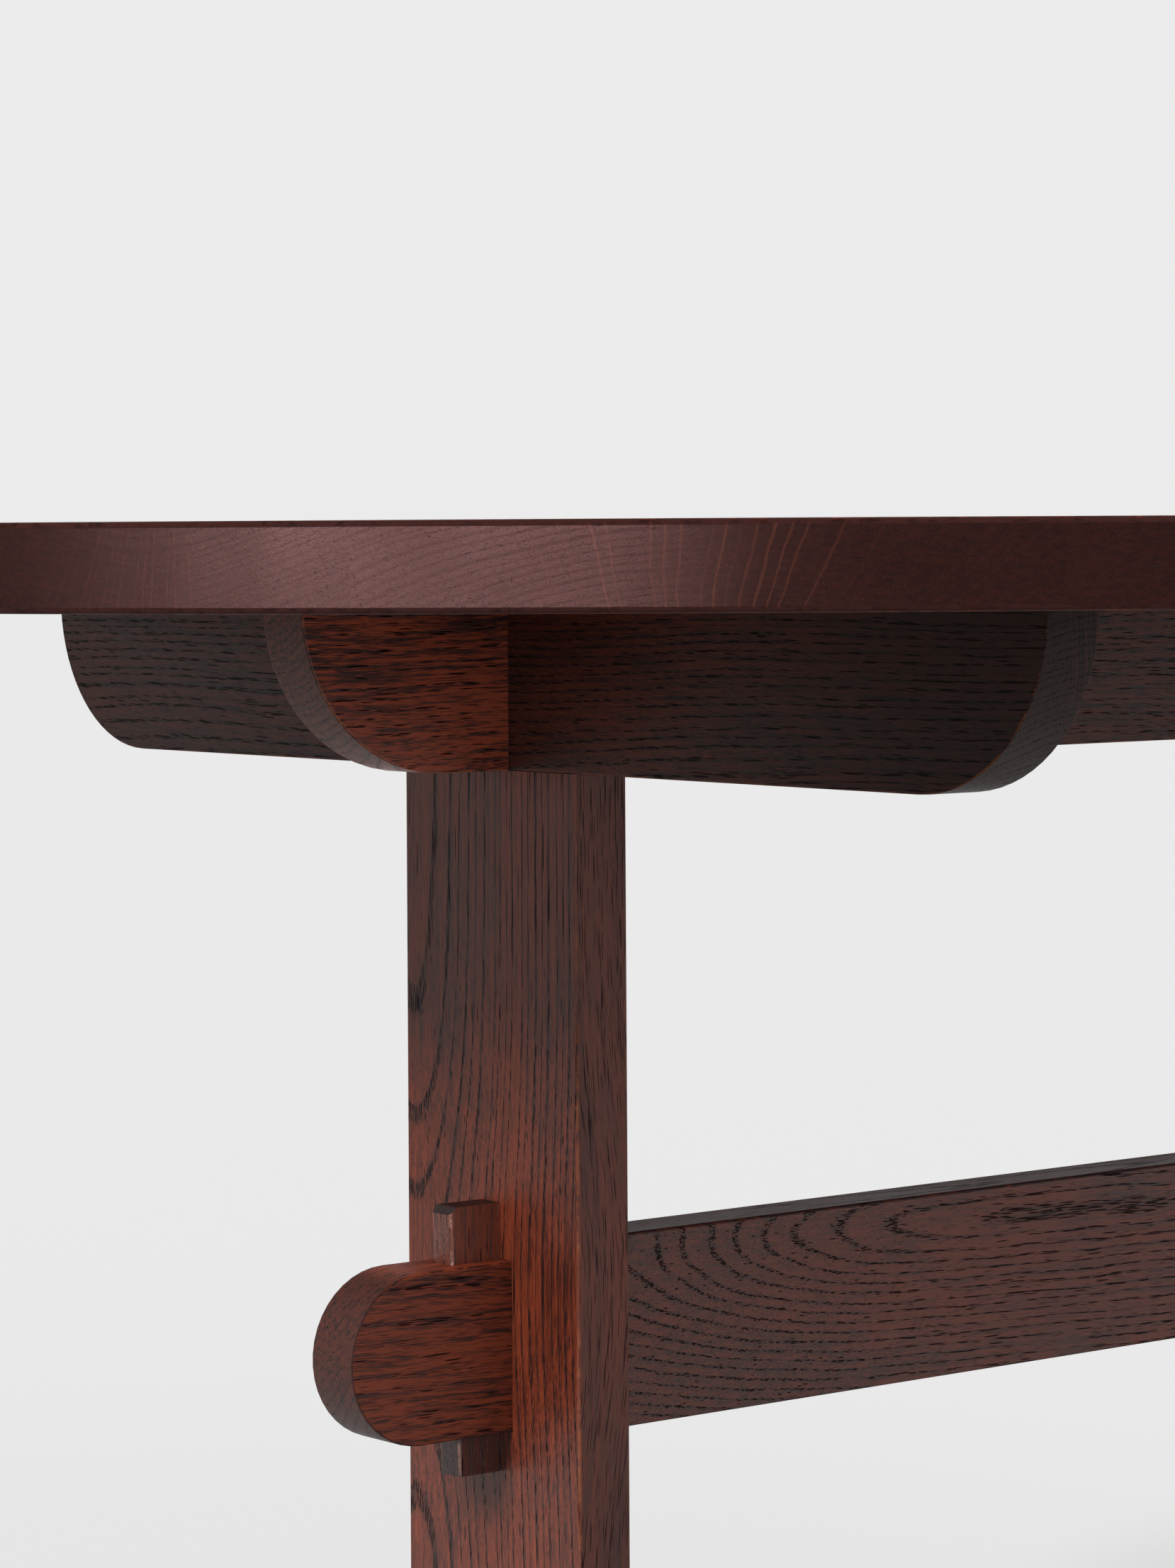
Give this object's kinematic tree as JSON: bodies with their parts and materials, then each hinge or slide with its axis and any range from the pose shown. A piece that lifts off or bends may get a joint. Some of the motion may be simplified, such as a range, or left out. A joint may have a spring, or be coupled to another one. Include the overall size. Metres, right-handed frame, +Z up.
{
  "type": "trestle dining table",
  "caption": "Oval trestle table in dark red-brown oak: wide plank posts, a through-wedged stretcher, a top rail over round-ended bearers, and runner feet.",
  "frame": {"origin": "on the floor, under the middle of the table top", "axes": "+X along the table's length, +Y across it, +Z up"},
  "size_m": [1.98, 1.2, 0.74],
  "materials": {
    "top_oak": "oak stained dark red-brown, satin",
    "frame_oak": "oak stained dark red-brown, satin",
    "wedge_oak": "oak stained dark red-brown, satin",
    "bolt_steel": "zinc plated, satin",
    "insert_brass": "plain",
    "glide_nylon": "matte"
  },
  "bodies": {
    "table": {"left_foot": "frame_oak", "left_post": "frame_oak", "left_bearer": "frame_oak", "right_foot": "frame_oak", "right_post": "frame_oak", "right_bearer": "frame_oak", "top_rail": "frame_oak", "stretcher": "frame_oak", "top_board_1": "top_oak", "top_board_2": "top_oak", "top_board_3": "top_oak", "top_board_4": "top_oak", "top_board_5": "top_oak", "top_board_6": "top_oak", "top_board_7": "top_oak", "top_bolts": "bolt_steel", "top_washers": "bolt_steel", "top_inserts": "insert_brass", "glide_nails": "bolt_steel", "left_front_glide": "glide_nylon", "left_back_glide": "glide_nylon", "right_front_glide": "glide_nylon", "right_back_glide": "glide_nylon"},
    "left_wedge": {"left_wedge": "wedge_oak"},
    "right_wedge": {"right_wedge": "wedge_oak"}
  },
  "joints": [
    {"name": "left_wedge_lift", "type": "slide", "parent": "table", "child": "left_wedge", "axis": [0, 0, 1], "range_m": [0, 0.09]},
    {"name": "right_wedge_lift", "type": "slide", "parent": "table", "child": "right_wedge", "axis": [0, 0, 1], "range_m": [0, 0.09]}
  ]
}
